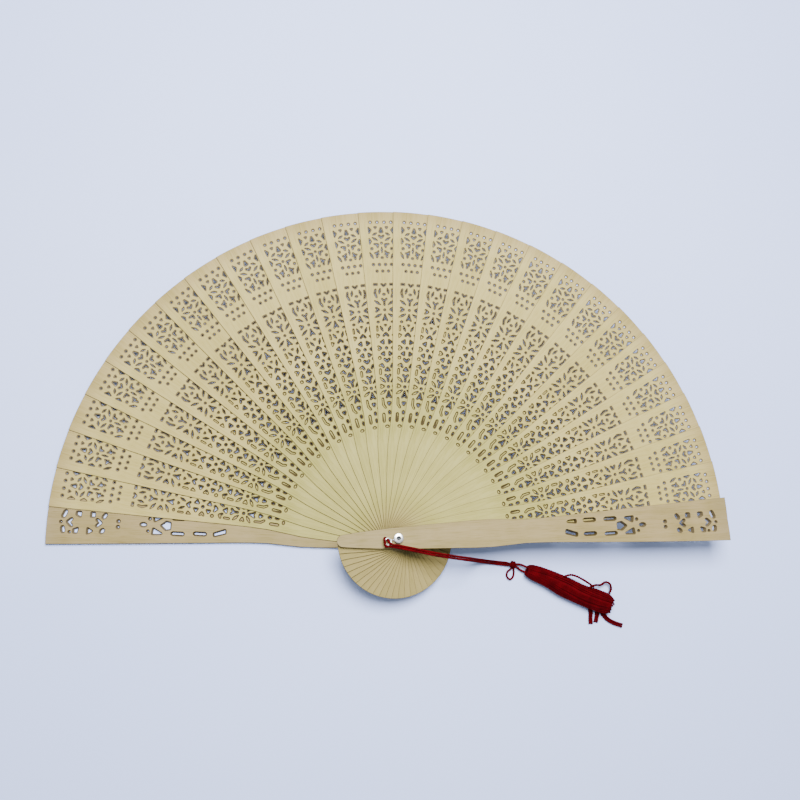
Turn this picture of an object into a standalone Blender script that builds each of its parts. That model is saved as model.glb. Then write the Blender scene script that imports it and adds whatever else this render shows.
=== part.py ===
"""A folding fan of thin wooden leaves between two guards, lying open.

Frame: the origin is on the rivet's axis, on the surface that the fan lies on,
with +Z up. The rear guard points left and is lowest. The leaves climb clockwise
from it, one on top of the other, to the front guard, which points right.
"""
import bpy
import bmesh
from math import cos, pi, radians, sin
from mathutils import Matrix, Vector

MM = 0.001

# Sticks, which are the two guards and the leaves between them
LEAF_COUNT = 26
OPEN_ANGLE = radians(174.0)
REAR_ANGLE = radians(177.0)
PITCH_ANGLE = OPEN_ANGLE / (LEAF_COUNT + 1)
TIP_REACH = 170 * MM
TAIL_ROUND = 3.2 * MM
GUARD_THICKNESS = 2.0 * MM
LEAF_THICKNESS = 0.5 * MM
STICK_GAP = 0.1 * MM
PIVOT_HOLE_RADIUS = 1.1 * MM

# Distance from the rivet and half the width there, in millimetres, tail to tip
WIDTH_STATIONS = (
    (-26.8, 3.0),
    (-15, 4.2),
    (0, 5.2),
    (26, 6.3),
    (46, 6.9),
    (66, 5.95),
    (103, 7.9),
    (135, 9.75),
    (169.6, 11.7),
)
SIDE_STEPS = 24
TIP_STEPS = 6
TAIL_STEPS = 10
ROUND_SIDES = 24
CORD_EYE_SIDES = 20

# Rivet, whose rear head is let into the rear guard
SHANK_RADIUS = 1.0 * MM
REAR_HEAD_RADIUS = 2.4 * MM
REAR_HEAD_HEIGHT = 0.8 * MM
COUNTERBORE_RADIUS = 2.8 * MM
COUNTERBORE_DEPTH = 0.9 * MM
FRONT_HEAD_RADIUS = 2.45 * MM
FRONT_HEAD_HEIGHT = 1.15 * MM
DIMPLE_RADIUS = 0.8 * MM
DIMPLE_DEPTH = 0.45 * MM

# Wire ring under the rivet's head, which holds the cord
WIRE_RADIUS = 0.42 * MM
RIVET_EYE_RADIUS = 1.75 * MM
CORD_EYE_RADIUS = 1.6 * MM
CORD_EYE_CENTRE = (-5.3 * MM, -2.4 * MM)
CORD_EYE_LIFT = 1.2 * MM
CORD_EYE_TILT = radians(14)
NECK_BEND = 2.75 * MM
NECK_RADIUS = 0.4 * MM

# Cord, knot and tassel
CORD_DIAMETER = 1.0 * MM
CORD_SPREAD = 0.62 * MM
CORD_STEP = 2.4 * MM
CORD_LOOP_RADIUS = 1.45 * MM
LOOP_STRAND_RADIUS = 0.45 * MM
CORD_LOOP_LEAN = radians(48)
KNOT_CENTRE = (61.8 * MM, -13.6 * MM, 1.95 * MM)
KNOT_RADII = (2.1 * MM, 1.7 * MM, 1.6 * MM)
TASSEL_HEIGHT_RATIO = 0.58

STACK_BASE = GUARD_THICKNESS + STICK_GAP
LEAF_PITCH = LEAF_THICKNESS + STICK_GAP
FRONT_GUARD_BASE = STACK_BASE + LEAF_COUNT * LEAF_PITCH
STACK_TOP = FRONT_GUARD_BASE + GUARD_THICKNESS
RING_CENTRE_Z = STACK_TOP + STICK_GAP + WIRE_RADIUS
FRONT_HEAD_BASE = RING_CENTRE_Z + WIRE_RADIUS + STICK_GAP

# Routes, in millimetres. First the pair of strands: wire ring, over the guard, knot
CORD_ROUTE = (
    (-1.9, -3.9, 20.75),
    (1.5, -4.7, 20.55),
    (8, -6.0, 20.5),
    (15.5, -7.3, 20.6),
    (23, -8.6, 20.7),
    (29.5, -9.6, 20.3),
    (34.5, -10.3, 17.8),
    (38.5, -10.8, 12.8),
    (42.5, -11.4, 7.0),
    (47, -12.0, 2.6),
    (52.5, -12.7, 1.2),
    (59.0, -13.4, 1.5),
)
LINK_ROUTES = {
    "link_upper": ((64.4, -13.5, 2.0), (66.4, -13.9, 2.3), (68.3, -14.9, 2.6)),
    "link_lower": ((63.9, -15.0, 1.4), (65.8, -16.4, 1.3), (67.6, -17.4, 1.6)),
}
KNOT_LOOP_ROUTE = (
    (60.9, -15.9, 1.0),
    (59.1, -17.4, 0.8),
    (58.8, -19.6, 0.8),
    (60.3, -21.2, 0.8),
    (62.0, -19.9, 0.8),
    (62.5, -17.6, 0.8),
    (62.3, -15.9, 1.0),
)
TAIL_ROUTES = {
    "tail_left": ((102.9, -38.3, 0.8), (102.8, -41, 0.8), (102.8, -44.2, 0.8)),
    "tail_middle": ((106.4, -38.9, 0.8), (106.0, -41, 0.8), (105.5, -43.4, 0.8)),
    "tail_right": ((109.4, -39, 0.8), (111.6, -41.6, 0.8), (115, -43.6, 0.8), (119.9, -45.3, 0.8)),
}
# Centre line of the tassel and half its width at each point, in millimetres
TASSEL_STATIONS = (
    (69.2, -16.6, 3.4),
    (72.5, -17.9, 4.2),
    (80, -20.9, 4.6),
    (88, -24.6, 5.0),
    (97, -28.6, 5.2),
    (105, -31.6, 5.2),
    (110.2, -33.5, 4.6),
    (112.2, -34.2, 3.2),
)

# Colour, roughness and metallic value of each finish
FINISHES = {
    "guard_wood": ((0.63, 0.50, 0.35), 0.55, 0.0),
    "leaf_wood": ((0.68, 0.60, 0.38), 0.55, 0.0),
    "bright_metal": ((0.82, 0.82, 0.84), 0.2, 1.0),
    "red_cord": ((0.30, 0.005, 0.01), 0.6, 0.0),
    "red_thread": ((0.24, 0.003, 0.006), 0.5, 0.0),
}


def clear_scene():
    for item in list(bpy.data.objects):
        bpy.data.objects.remove(item, do_unlink=True)


def new_collection(name):
    collection = bpy.data.collections.new(name)
    bpy.context.scene.collection.children.link(collection)
    return collection


def new_material(name):
    colour, roughness, metallic = FINISHES[name]
    material = bpy.data.materials.new(name)
    material.use_nodes = True
    shader = material.node_tree.nodes["Principled BSDF"]
    shader.inputs["Base Color"].default_value = (*colour, 1.0)
    shader.inputs["Roughness"].default_value = roughness
    shader.inputs["Metallic"].default_value = metallic
    return material


def add_object(name, data, collection, material):
    item = bpy.data.objects.new(name, data)
    collection.objects.link(item)
    if material is not None:
        data.materials.append(material)
    return item


def smooth_value(stations, reach):
    """Read a smooth curve through the stations at a reach between its ends."""
    reaches = [station[0] for station in stations]
    values = [station[1] for station in stations]
    last = len(stations) - 1
    span = max(i for i in range(last) if reach >= reaches[i] or i == 0)

    def slope(i):
        before, after = max(i - 1, 0), min(i + 1, last)
        return (values[after] - values[before]) / (reaches[after] - reaches[before])

    length = reaches[span + 1] - reaches[span]
    t = (reach - reaches[span]) / length
    return (
        values[span] * (1 + 2 * t) * (1 - t) ** 2
        + values[span + 1] * t * t * (3 - 2 * t)
        + length * t * (1 - t) * (slope(span) * (1 - t) - slope(span + 1) * t)
    )


def smooth_route(points, step):
    """Points about one step apart on a smooth curve through a route given in millimetres."""
    knots = [Vector(point) * MM for point in points]
    padded = [2 * knots[0] - knots[1]] + knots + [2 * knots[-1] - knots[-2]]
    route = []
    for before, start, end, after in zip(padded, padded[1:], padded[2:], padded[3:]):
        count = max(1, round((end - start).length / step))
        for i in range(count):
            t = i / count
            route.append(
                0.5 * (
                    2 * start
                    + (end - before) * t
                    + (2 * before - 5 * start + 4 * end - after) * t ** 2
                    + (3 * start - before - 3 * end + after) * t ** 3
                )
            )
    route.append(knots[-1])
    return route


def stick_outline():
    """Outline of a stick that points along +X, anticlockwise from its tip."""
    first, last = WIDTH_STATIONS[0][0], WIDTH_STATIONS[-1][0]
    reaches = [last + (first - last) * i / SIDE_STEPS for i in range(SIDE_STEPS + 1)]
    upper = [(reach * MM, smooth_value(WIDTH_STATIONS, reach) * MM) for reach in reaches]
    tip_half, tail_half = upper[0][1], upper[-1][1]
    tail_turns = [pi * i / TAIL_STEPS for i in range(1, TAIL_STEPS)]
    tail = [(first * MM - TAIL_ROUND * sin(turn), tail_half * cos(turn)) for turn in tail_turns]
    tip_ys = [tip_half * (2 * i / TIP_STEPS - 1) for i in range(1, TIP_STEPS)]
    tip = [((TIP_REACH ** 2 - y * y) ** 0.5, y) for y in tip_ys]
    return upper + tail + [(x, -y) for x, y in reversed(upper)] + tip


def add_spline(curve, points):
    spline = curve.splines.new("POLY")
    spline.points.add(len(points) - 1)
    for target, point in zip(spline.points, points):
        target.co = (point[0], point[1], point[2] if len(point) > 2 else 0, 1)
    return spline


def circle(radius, sides):
    turns = [2 * pi * i / sides for i in range(sides)]
    return [(radius * cos(turn), radius * sin(turn)) for turn in turns]


def stick_curve(name, thickness):
    curve = bpy.data.curves.new(name, "CURVE")
    curve.dimensions = "2D"
    curve.fill_mode = "BOTH"
    curve.extrude = thickness / 2
    add_spline(curve, stick_outline()).use_cyclic_u = True
    add_spline(curve, circle(PIVOT_HOLE_RADIUS, ROUND_SIDES)).use_cyclic_u = True
    return curve


def place_stick(item, index, base, thickness):
    item.location = (0, 0, base + thickness / 2)
    item.rotation_euler = (0, 0, REAR_ANGLE - index * PITCH_ANGLE)


def as_mesh_object(item):
    """Swap a curve object for a welded mesh object of the same name."""
    bpy.context.view_layer.update()
    evaluated = item.evaluated_get(bpy.context.evaluated_depsgraph_get())
    mesh = bpy.data.meshes.new_from_object(evaluated)
    name, place, collection = item.name, item.matrix_world.copy(), item.users_collection[0]
    bpy.data.objects.remove(item, do_unlink=True)
    bm = bmesh.new()
    bm.from_mesh(mesh)
    bmesh.ops.remove_doubles(bm, verts=bm.verts, dist=0.000001)
    bm.to_mesh(mesh)
    bm.free()
    solid = bpy.data.objects.new(name, mesh)
    solid.matrix_world = place
    collection.objects.link(solid)
    return solid


def cut(item, cutter, operation):
    modifier = item.modifiers.new(operation.title(), "BOOLEAN")
    modifier.operation = operation
    modifier.object = cutter


def add_guard_and_counterbore(parts, cutters, material):
    """Rear guard, with the recess in its underside for the rivet's rear head."""
    guard = add_object("rear_guard", stick_curve("rear_guard", GUARD_THICKNESS), parts, material)
    place_stick(guard, 0, 0, GUARD_THICKNESS)
    guard = as_mesh_object(guard)
    bm = bmesh.new()
    bmesh.ops.create_cone(
        bm,
        cap_ends=True,
        segments=ROUND_SIDES,
        radius1=COUNTERBORE_RADIUS,
        radius2=COUNTERBORE_RADIUS,
        depth=2 * COUNTERBORE_DEPTH,
    )
    mesh = bpy.data.meshes.new("counterbore")
    bm.to_mesh(mesh)
    bm.free()
    cutter = add_object("counterbore", mesh, cutters, None)
    cut(guard, cutter, "DIFFERENCE")


def add_sticks(parts, cutters, guard_wood, leaf_wood):
    add_guard_and_counterbore(parts, cutters, guard_wood)
    leaf = stick_curve("leaf", LEAF_THICKNESS)
    for index in range(1, LEAF_COUNT + 1):
        item = add_object(f"leaf_{index:02d}", leaf, parts, leaf_wood if index == 1 else None)
        place_stick(item, index, STACK_BASE + (index - 1) * LEAF_PITCH, LEAF_THICKNESS)
    front = add_object("front_guard", stick_curve("front_guard", GUARD_THICKNESS), parts, guard_wood)
    place_stick(front, LEAF_COUNT + 1, FRONT_GUARD_BASE, GUARD_THICKNESS)


def add_rivet(parts, material):
    """Turned from one profile: front head with a dimple, shank, flat rear head."""
    top = FRONT_HEAD_BASE + FRONT_HEAD_HEIGHT
    profile = [
        (0, top - DIMPLE_DEPTH),
        (DIMPLE_RADIUS * 0.7, top - DIMPLE_DEPTH * 0.8),
        (DIMPLE_RADIUS, top - DIMPLE_DEPTH * 0.2),
        (FRONT_HEAD_RADIUS * 0.5, top),
        (FRONT_HEAD_RADIUS * 0.82, top - FRONT_HEAD_HEIGHT * 0.22),
        (FRONT_HEAD_RADIUS, FRONT_HEAD_BASE + FRONT_HEAD_HEIGHT * 0.3),
        (FRONT_HEAD_RADIUS, FRONT_HEAD_BASE),
        (SHANK_RADIUS, FRONT_HEAD_BASE),
        (SHANK_RADIUS, REAR_HEAD_HEIGHT),
        (REAR_HEAD_RADIUS, REAR_HEAD_HEIGHT),
        (REAR_HEAD_RADIUS, 0),
        (0, 0),
    ]
    mesh = bpy.data.meshes.new("rivet")
    bm = bmesh.new()
    verts = [bm.verts.new((x, 0, z)) for x, z in profile]
    for start, end in zip(verts, verts[1:]):
        bm.edges.new((start, end))
    bm.to_mesh(mesh)
    bm.free()
    rivet = add_object("rivet", mesh, parts, material)
    turn = rivet.modifiers.new("Turn", "SCREW")
    turn.steps = ROUND_SIDES
    turn.render_steps = ROUND_SIDES
    turn.use_merge_vertices = True
    turn.merge_threshold = 0.00001


def swept_mesh(name, points, radius, closed, place):
    """Mesh of a round wire along the points, welded at its caps and placed by a matrix."""
    curve = bpy.data.curves.new(name, "CURVE")
    curve.dimensions = "3D"
    curve.bevel_depth = radius
    curve.bevel_resolution = 2
    curve.use_fill_caps = not closed
    add_spline(curve, points).use_cyclic_u = closed
    holder = bpy.data.objects.new(name, curve)
    bpy.context.scene.collection.objects.link(holder)
    bpy.context.view_layer.update()
    evaluated = holder.evaluated_get(bpy.context.evaluated_depsgraph_get())
    mesh = bpy.data.meshes.new_from_object(evaluated)
    bpy.data.objects.remove(holder, do_unlink=True)
    bm = bmesh.new()
    bm.from_mesh(mesh)
    bmesh.ops.remove_doubles(bm, verts=bm.verts, dist=0.000001)
    bmesh.ops.transform(bm, matrix=place, verts=bm.verts)
    bm.to_mesh(mesh)
    bm.free()
    return mesh


def add_tassel_ring(parts, cutters, material):
    """Two wire eyes joined by a bent neck: one on the rivet, one raised for the cord."""
    away = Vector((*CORD_EYE_CENTRE, 0)).normalized()
    eye = Vector((*CORD_EYE_CENTRE, RING_CENTRE_Z + CORD_EYE_LIFT))
    tilt = Matrix.Rotation(-CORD_EYE_TILT, 4, Vector((0, 0, 1)).cross(away))
    level = Matrix.Translation((0, 0, RING_CENTRE_Z))
    rivet_eye = circle(RIVET_EYE_RADIUS, ROUND_SIDES)
    near = swept_mesh("tassel_ring", rivet_eye, WIRE_RADIUS, True, level)
    ring = add_object("tassel_ring", near, parts, material)
    near_rim = eye - level.translation - tilt @ (away * CORD_EYE_RADIUS)
    neck_points = (away * RIVET_EYE_RADIUS, away * NECK_BEND, near_rim)
    neck = swept_mesh("neck", neck_points, NECK_RADIUS, False, level)
    cord_eye = circle(CORD_EYE_RADIUS, CORD_EYE_SIDES)
    far = swept_mesh("cord_eye", cord_eye, WIRE_RADIUS, True, Matrix.Translation(eye) @ tilt)
    cut(ring, add_object("neck", neck, cutters, None), "UNION")
    cut(ring, add_object("cord_eye", far, cutters, None), "UNION")
    return eye + tilt @ (away * CORD_EYE_RADIUS), away


def add_tube(name, points, parts, material, diameter=CORD_DIAMETER):
    curve = bpy.data.curves.new(name, "CURVE")
    curve.dimensions = "3D"
    curve.bevel_depth = diameter / 2
    curve.bevel_resolution = 2
    curve.use_fill_caps = True
    add_spline(curve, points)
    return add_object(name, curve, parts, material)


def strand_route(side):
    """One strand of the pair, beside the pair's centre line."""
    route = smooth_route(CORD_ROUTE, CORD_STEP)
    moved = []
    for i, point in enumerate(route):
        along = route[min(i + 1, len(route) - 1)] - route[max(i - 1, 0)]
        beside = Vector((-along.y, along.x, 0)).normalized()
        moved.append(point + beside * side * CORD_SPREAD)
    return moved


def add_cord(parts, material, rim, away):
    """A loop linked through the cord eye, two strands to the knot, and their ends."""
    place = Matrix.Translation(rim) @ Matrix.Rotation(CORD_LOOP_LEAN, 4, away)
    loop_circle = circle(CORD_LOOP_RADIUS, CORD_EYE_SIDES)
    loop = swept_mesh("cord_loop", loop_circle, LOOP_STRAND_RADIUS, True, place)
    add_object("cord_loop", loop, parts, material)
    add_tube("cord_upper", strand_route(1), parts, material)
    add_tube("cord_lower", strand_route(-1), parts, material)
    for name, route in LINK_ROUTES.items():
        add_tube(name, smooth_route(route, CORD_STEP), parts, material)
    knot_loop_route = smooth_route(KNOT_LOOP_ROUTE, CORD_STEP / 2)
    add_tube("knot_loop", knot_loop_route, parts, material, 2 * LOOP_STRAND_RADIUS)
    mesh = bpy.data.meshes.new("knot")
    bm = bmesh.new()
    bmesh.ops.create_uvsphere(bm, u_segments=16, v_segments=10, radius=1)
    place = Matrix.LocRotScale(Vector(KNOT_CENTRE), None, Vector(KNOT_RADII))
    bmesh.ops.transform(bm, matrix=place, verts=bm.verts)
    bm.to_mesh(mesh)
    bm.free()
    add_object("knot", mesh, parts, material)


def add_tassel(parts, material):
    """Folded skein of thread, flattened where it lies, and the loose tails at its end."""
    curve = bpy.data.curves.new("tassel", "CURVE")
    curve.dimensions = "3D"
    curve.bevel_depth = MM
    curve.bevel_resolution = 4
    curve.use_fill_caps = True
    spline = add_spline(curve, [(x * MM, y * MM) for x, y, half in TASSEL_STATIONS])
    widest = max(half for x, y, half in TASSEL_STATIONS) * MM
    for point, (x, y, half) in zip(spline.points, TASSEL_STATIONS):
        point.radius = half
    tassel = add_object("tassel", curve, parts, material)
    tassel.scale = (1, 1, TASSEL_HEIGHT_RATIO)
    tassel.location = (0, 0, widest * TASSEL_HEIGHT_RATIO + STICK_GAP)
    for name, route in TAIL_ROUTES.items():
        add_tube(name, smooth_route(route, CORD_STEP), parts, material)


clear_scene()
fan_parts = new_collection("hand_fan")
fan_cutters = new_collection("cutters")
finish = {name: new_material(name) for name in FINISHES}
add_sticks(fan_parts, fan_cutters, finish["guard_wood"], finish["leaf_wood"])
add_rivet(fan_parts, finish["bright_metal"])
eye_rim, eye_direction = add_tassel_ring(fan_parts, fan_cutters, finish["bright_metal"])
add_cord(fan_parts, finish["red_cord"], eye_rim, eye_direction)
add_tassel(fan_parts, finish["red_thread"])
for guide in fan_cutters.objects:
    guide.hide_render = True
    guide.display_type = "WIRE"
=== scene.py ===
import random
from math import atan2, cos, hypot, pi, radians, sin

import bmesh
import bpy
from mathutils import Matrix, Vector


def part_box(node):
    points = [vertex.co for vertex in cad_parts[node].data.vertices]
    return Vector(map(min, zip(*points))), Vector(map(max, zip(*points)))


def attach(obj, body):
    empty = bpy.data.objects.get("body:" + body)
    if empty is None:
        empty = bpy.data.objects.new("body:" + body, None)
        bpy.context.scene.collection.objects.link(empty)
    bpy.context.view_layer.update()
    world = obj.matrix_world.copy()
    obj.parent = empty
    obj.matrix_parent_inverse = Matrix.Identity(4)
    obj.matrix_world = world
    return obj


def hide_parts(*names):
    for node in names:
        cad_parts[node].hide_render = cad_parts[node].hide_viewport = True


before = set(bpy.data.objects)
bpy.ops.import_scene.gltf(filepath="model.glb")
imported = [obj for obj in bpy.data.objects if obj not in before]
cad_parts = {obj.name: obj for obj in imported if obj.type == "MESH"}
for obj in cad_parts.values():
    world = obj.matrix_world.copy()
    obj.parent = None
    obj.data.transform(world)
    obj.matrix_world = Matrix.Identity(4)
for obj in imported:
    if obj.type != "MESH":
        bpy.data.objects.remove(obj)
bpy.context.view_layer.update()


# --- Camera, table and light -------------------------------------------------
# The fan lies on a pale bluish white board, seen from almost straight above.
# One broad soft light hangs above its far side, in a dimly lit pale room.
MM = 0.001
CAMERA_PLACE = Vector((-0.0549, 0.0035, 0.4513))
CAMERA_AIM = Vector((0.0034, 0.0712, 0.0))
CAMERA_LENS = 39.57
TABLE_SIZE = 3.0
TABLE_GAP = 0.05 * MM
TABLE_COLOUR = (0.49, 0.595, 0.985, 1.0)
TABLE_CLOUD_COLOUR = (0.51, 0.615, 0.99, 1.0)
TABLE_CLOUD_SCALE = 5.0
ROOM_COLOUR = (0.92, 0.96, 1.0, 1.0)
ROOM_STRENGTH = 0.5
LAMP_PLACE = Vector((0.03, 0.33, 0.75))
LAMP_AIM = Vector((0, 0.06, 0))
LAMP_SIZE = 0.45
LAMP_POWER = 21.5
collection = bpy.context.scene.collection


class Signal:
    """A shader socket. Arithmetic on it adds Math nodes to its material."""

    def __init__(self, tree, socket=None):
        self.tree = tree
        self.socket = socket

    def node(self, kind, settings, inputs, output=0):
        """Any node, from its type, its settings, and its sockets' values or links."""
        made = self.tree.nodes.new(kind)
        for name, value in settings.items():
            setattr(made, name, value)
        for name, value in inputs.items():
            if isinstance(value, Signal):
                self.tree.links.new(value.socket, made.inputs[name])
            else:
                made.inputs[name].default_value = value
        return Signal(self.tree, made.outputs[output])

    def math(self, operation, *values):
        return self.node("ShaderNodeMath", {"operation": operation}, dict(enumerate(values)))

    def between(self, low, high):
        """0 below low, 1 above high, smooth between."""
        limits = {"Value": self, "From Min": low, "From Max": high}
        return self.node("ShaderNodeMapRange", {"interpolation_type": "SMOOTHSTEP"}, limits)

    def __add__(self, other):
        return self.math("ADD", self, other)

    def __radd__(self, other):
        return self.math("ADD", other, self)

    def __sub__(self, other):
        return self.math("SUBTRACT", self, other)

    def __rsub__(self, other):
        return self.math("SUBTRACT", other, self)

    def __mul__(self, other):
        return self.math("MULTIPLY", self, other)

    def __rmul__(self, other):
        return self.math("MULTIPLY", other, self)


def noise(vector, scale, detail=2.0):
    inputs = {"Vector": vector, "Scale": scale, "Detail": detail}
    return vector.node("ShaderNodeTexNoise", {"noise_dimensions": "3D"}, inputs, "Fac")


def mix(factor, first, second):
    """Colour between two colours."""
    return factor.node("ShaderNodeMix", {"data_type": "RGBA"}, {0: factor, 6: first, 7: second}, 2)


def finish(name, **values):
    """A material with its shader's own sockets set, and a signal to start its nodes from."""
    material = bpy.data.materials.new(name)
    material.use_nodes = True
    shader = material.node_tree.nodes["Principled BSDF"]
    for socket, value in values.items():
        shader.inputs[socket.replace("_", " ")].default_value = value
    return material, shader, Signal(material.node_tree)


def feed(shader, socket, signal):
    signal.tree.links.new(signal.socket, shader.inputs[socket])


def bump(height, strength, distance):
    inputs = {"Height": height, "Strength": strength, "Distance": distance}
    return height.node("ShaderNodeBump", {}, inputs)


def place_in_scene(name, mesh, *materials):
    piece = bpy.data.objects.new(name, mesh)
    mesh.materials.clear()
    for material in materials:
        mesh.materials.append(material)
    collection.objects.link(piece)
    return piece


def aim(item, place, target):
    """Point a camera or a light from above at a target, with +Y up in its picture."""
    back = (place - target).normalized()
    right = Vector((0, 1, 0)).cross(back).normalized()
    item.location = place
    item.rotation_euler = Matrix((right, back.cross(right), back)).transposed().to_euler()
    collection.objects.link(item)


camera = bpy.data.objects.new("camera", bpy.data.cameras.new("camera"))
camera.data.lens = CAMERA_LENS
camera.data.sensor_width = 36.0
camera.data.clip_start = 0.01
aim(camera, CAMERA_PLACE, CAMERA_AIM)
bpy.context.scene.camera = camera

bm = bmesh.new()
bmesh.ops.create_grid(bm, x_segments=1, y_segments=1, size=TABLE_SIZE / 2)
bmesh.ops.translate(bm, vec=(0, 0, -TABLE_GAP), verts=bm.verts)
table_mesh = bpy.data.meshes.new("table")
bm.to_mesh(table_mesh)
bm.free()
table_paint, shader, start = finish("table_paint", Base_Color=TABLE_COLOUR, Roughness=0.6)
where = start.node("ShaderNodeTexCoord", {}, {}, "Object")
cloud = noise(where, TABLE_CLOUD_SCALE).between(0.3, 0.7)
feed(shader, "Base Color", mix(cloud, TABLE_COLOUR, TABLE_CLOUD_COLOUR))
place_in_scene("table", table_mesh, table_paint)

lamp = bpy.data.lights.new("lamp", "AREA")
lamp.size = LAMP_SIZE
lamp.energy = LAMP_POWER
aim(bpy.data.objects.new("lamp", lamp), LAMP_PLACE, LAMP_AIM)
world = bpy.data.worlds.new("room")
world.use_nodes = True
world.node_tree.nodes["Background"].inputs["Color"].default_value = ROOM_COLOUR
world.node_tree.nodes["Background"].inputs["Strength"].default_value = ROOM_STRENGTH
bpy.context.scene.world = world


# --- Cord --------------------------------------------------------------------
# One thin crimson cord of three twisted yarns, doubled, with its fold looped through
# the wire ring's outer eye. Its two strands run side by side over the edge of the
# fan, through the knot and into the tassel's head. Routes are in millimetres.
YARN_RADIUS = 0.34 * MM
YARN_WIND = 0.29 * MM
YARN_PITCH = 2.6 * MM
STRAND_SPREAD = 0.57 * MM
FINE_STEP = 0.36 * MM
DYE_GLOSS = 0.03
DYE_ROUGHNESS = 0.8
CORD_HOLLOW_COLOUR = (0.035, 0.0004, 0.0014, 1.0)
CORD_FACE_COLOUR = (0.105, 0.0016, 0.0038, 1.0)
EYE_ROUTES = {
    "upper": ((-5.1, -1.2, 21.9), (-4.7, -2.1, 22.4), (-3.8, -2.8, 22.4), (-2.6, -3.3, 21.8)),
    "lower": ((-5.7, -4.1, 21.5), (-4.6, -4.0, 21.7), (-3.2, -4.2, 21.3)),
}
CORD_ROUTE = (
    (-1.4, -3.9, 20.9),
    (1.5, -4.4, 20.65),
    (8, -5.7, 20.5),
    (15.5, -7.3, 20.6),
    (23, -8.6, 20.7),
    (29.5, -9.6, 20.3),
    (34.5, -10.3, 17.8),
    (38.5, -10.8, 12.8),
    (42.5, -11.4, 7.0),
    (47, -12.0, 2.6),
    (52.5, -12.7, 1.2),
    (59.0, -13.4, 1.5),
)
THROUGH_KNOT = (61.8, -13.7, 1.9)
LINK_ROUTES = {
    "upper": ((64.4, -13.5, 2.0), (66.4, -13.9, 2.3), (69.3, -15.2, 2.8)),
    "lower": ((63.9, -15.0, 1.4), (65.8, -16.4, 1.3), (68.8, -17.8, 2.0)),
}


def smooth_route(points, step, closed=False):
    """Points about one step apart on a smooth curve through a route given in millimetres."""
    knots = [Vector(point) * MM for point in points]
    if closed:
        padded = [knots[-1]] + knots + knots[:2]
    else:
        padded = [2 * knots[0] - knots[1]] + knots + [2 * knots[-1] - knots[-2]]
    route = []
    for before, begin, end, after in zip(padded, padded[1:], padded[2:], padded[3:]):
        count = max(1, round((end - begin).length / step))
        for i in range(count):
            t = i / count
            route.append(
                0.5 * (
                    2 * begin
                    + (end - before) * t
                    + (2 * before - 5 * begin + 4 * end - after) * t ** 2
                    + (3 * begin - before - 3 * end + after) * t ** 3
                )
            )
    if not closed:
        route.append(knots[-1])
    return route


def beside(route, offset):
    """The route moved sideways, level with the table."""
    moved = []
    for i, point in enumerate(route):
        along = route[min(i + 1, len(route) - 1)] - route[max(i - 1, 0)]
        across = Vector((-along.y, along.x, 0)).normalized()
        moved.append(point + across * offset)
    return moved


def twisted(route, wind=YARN_WIND, pitch=YARN_PITCH, yarns=3, turn=0.0):
    """Lines of the yarns that wind round a route."""
    lines = [[] for yarn in range(yarns)]
    side = Vector((0.02, 0.01, 1)).cross(route[1] - route[0]).normalized()
    travelled = 0.0
    for i, point in enumerate(route):
        along = (route[min(i + 1, len(route) - 1)] - route[max(i - 1, 0)]).normalized()
        side = (side - along * side.dot(along)).normalized()
        rise = along.cross(side)
        travelled += (point - route[max(i - 1, 0)]).length
        for yarn, line in enumerate(lines):
            angle = turn + 2 * pi * (travelled / pitch + yarn / yarns)
            line.append(point + (side * cos(angle) + rise * sin(angle)) * wind)
    return lines


def baked(holder):
    """The mesh of an object with its curve or modifiers worked out. The object goes."""
    collection.objects.link(holder)
    bpy.context.view_layer.update()
    solved = holder.evaluated_get(bpy.context.evaluated_depsgraph_get())
    mesh = bpy.data.meshes.new_from_object(solved)
    bpy.data.objects.remove(holder, do_unlink=True)
    return mesh


def strands(lines, radius, sides, closed=False, swell=None):
    """One mesh of round strands along lines of points."""
    curve = bpy.data.curves.new("strands", "CURVE")
    curve.dimensions = "3D"
    curve.bevel_depth = radius
    curve.bevel_resolution = sides
    curve.use_fill_caps = not closed
    for line in lines:
        spline = curve.splines.new("POLY")
        spline.points.add(len(line) - 1)
        for i, point in enumerate(line):
            spline.points[i].co = (*point, 1)
            if swell:
                spline.points[i].radius = swell(i / (len(line) - 1))
        spline.use_cyclic_u = closed
    mesh = baked(bpy.data.objects.new("strands", curve))
    bm = bmesh.new()
    bm.from_mesh(mesh)
    bmesh.ops.remove_doubles(bm, verts=bm.verts, dist=0.000001)
    bm.to_mesh(mesh)
    bm.free()
    mesh.shade_smooth()
    return mesh


def crimson(name, deep, bright):
    """Dull dyed thread: deep red in patches, with fine hairs of brighter red."""
    material, shader, start = finish(name, Roughness=DYE_ROUGHNESS, Specular_IOR_Level=DYE_GLOSS)
    where = start.node("ShaderNodeTexCoord", {}, {}, "Object")
    patches = noise(where, 260.0)
    hairs = noise(where, 5200.0, 3.0)
    tone = (patches * 0.6 + hairs * 0.6).between(0.4, 0.82)
    feed(shader, "Base Color", mix(tone, deep, bright))
    feed(shader, "Normal", bump(hairs, 0.5, 0.12 * MM))
    return material


cord_dye = crimson("cord_dye", CORD_HOLLOW_COLOUR, CORD_FACE_COLOUR)
for name, side in (("upper", 1), ("lower", -1)):
    run = beside(smooth_route(CORD_ROUTE, FINE_STEP), side * STRAND_SPREAD)
    eye = smooth_route((*EYE_ROUTES[name], run[2] / MM, run[8] / MM), FINE_STEP)
    eye = [point for point in eye if point.x < run[2].x - FINE_STEP / 2]
    link = smooth_route((THROUGH_KNOT, *LINK_ROUTES[name]), FINE_STEP)
    route = eye + run[2:] + link[1:]
    mesh = strands(twisted(route, turn=side), YARN_RADIUS, 1)
    strand = place_in_scene(f"cord_strand_{name}", mesh, cord_dye)
    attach(strand, "tassel_ring")
    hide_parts(f"cord_{name}", f"link_{name}")

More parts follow.
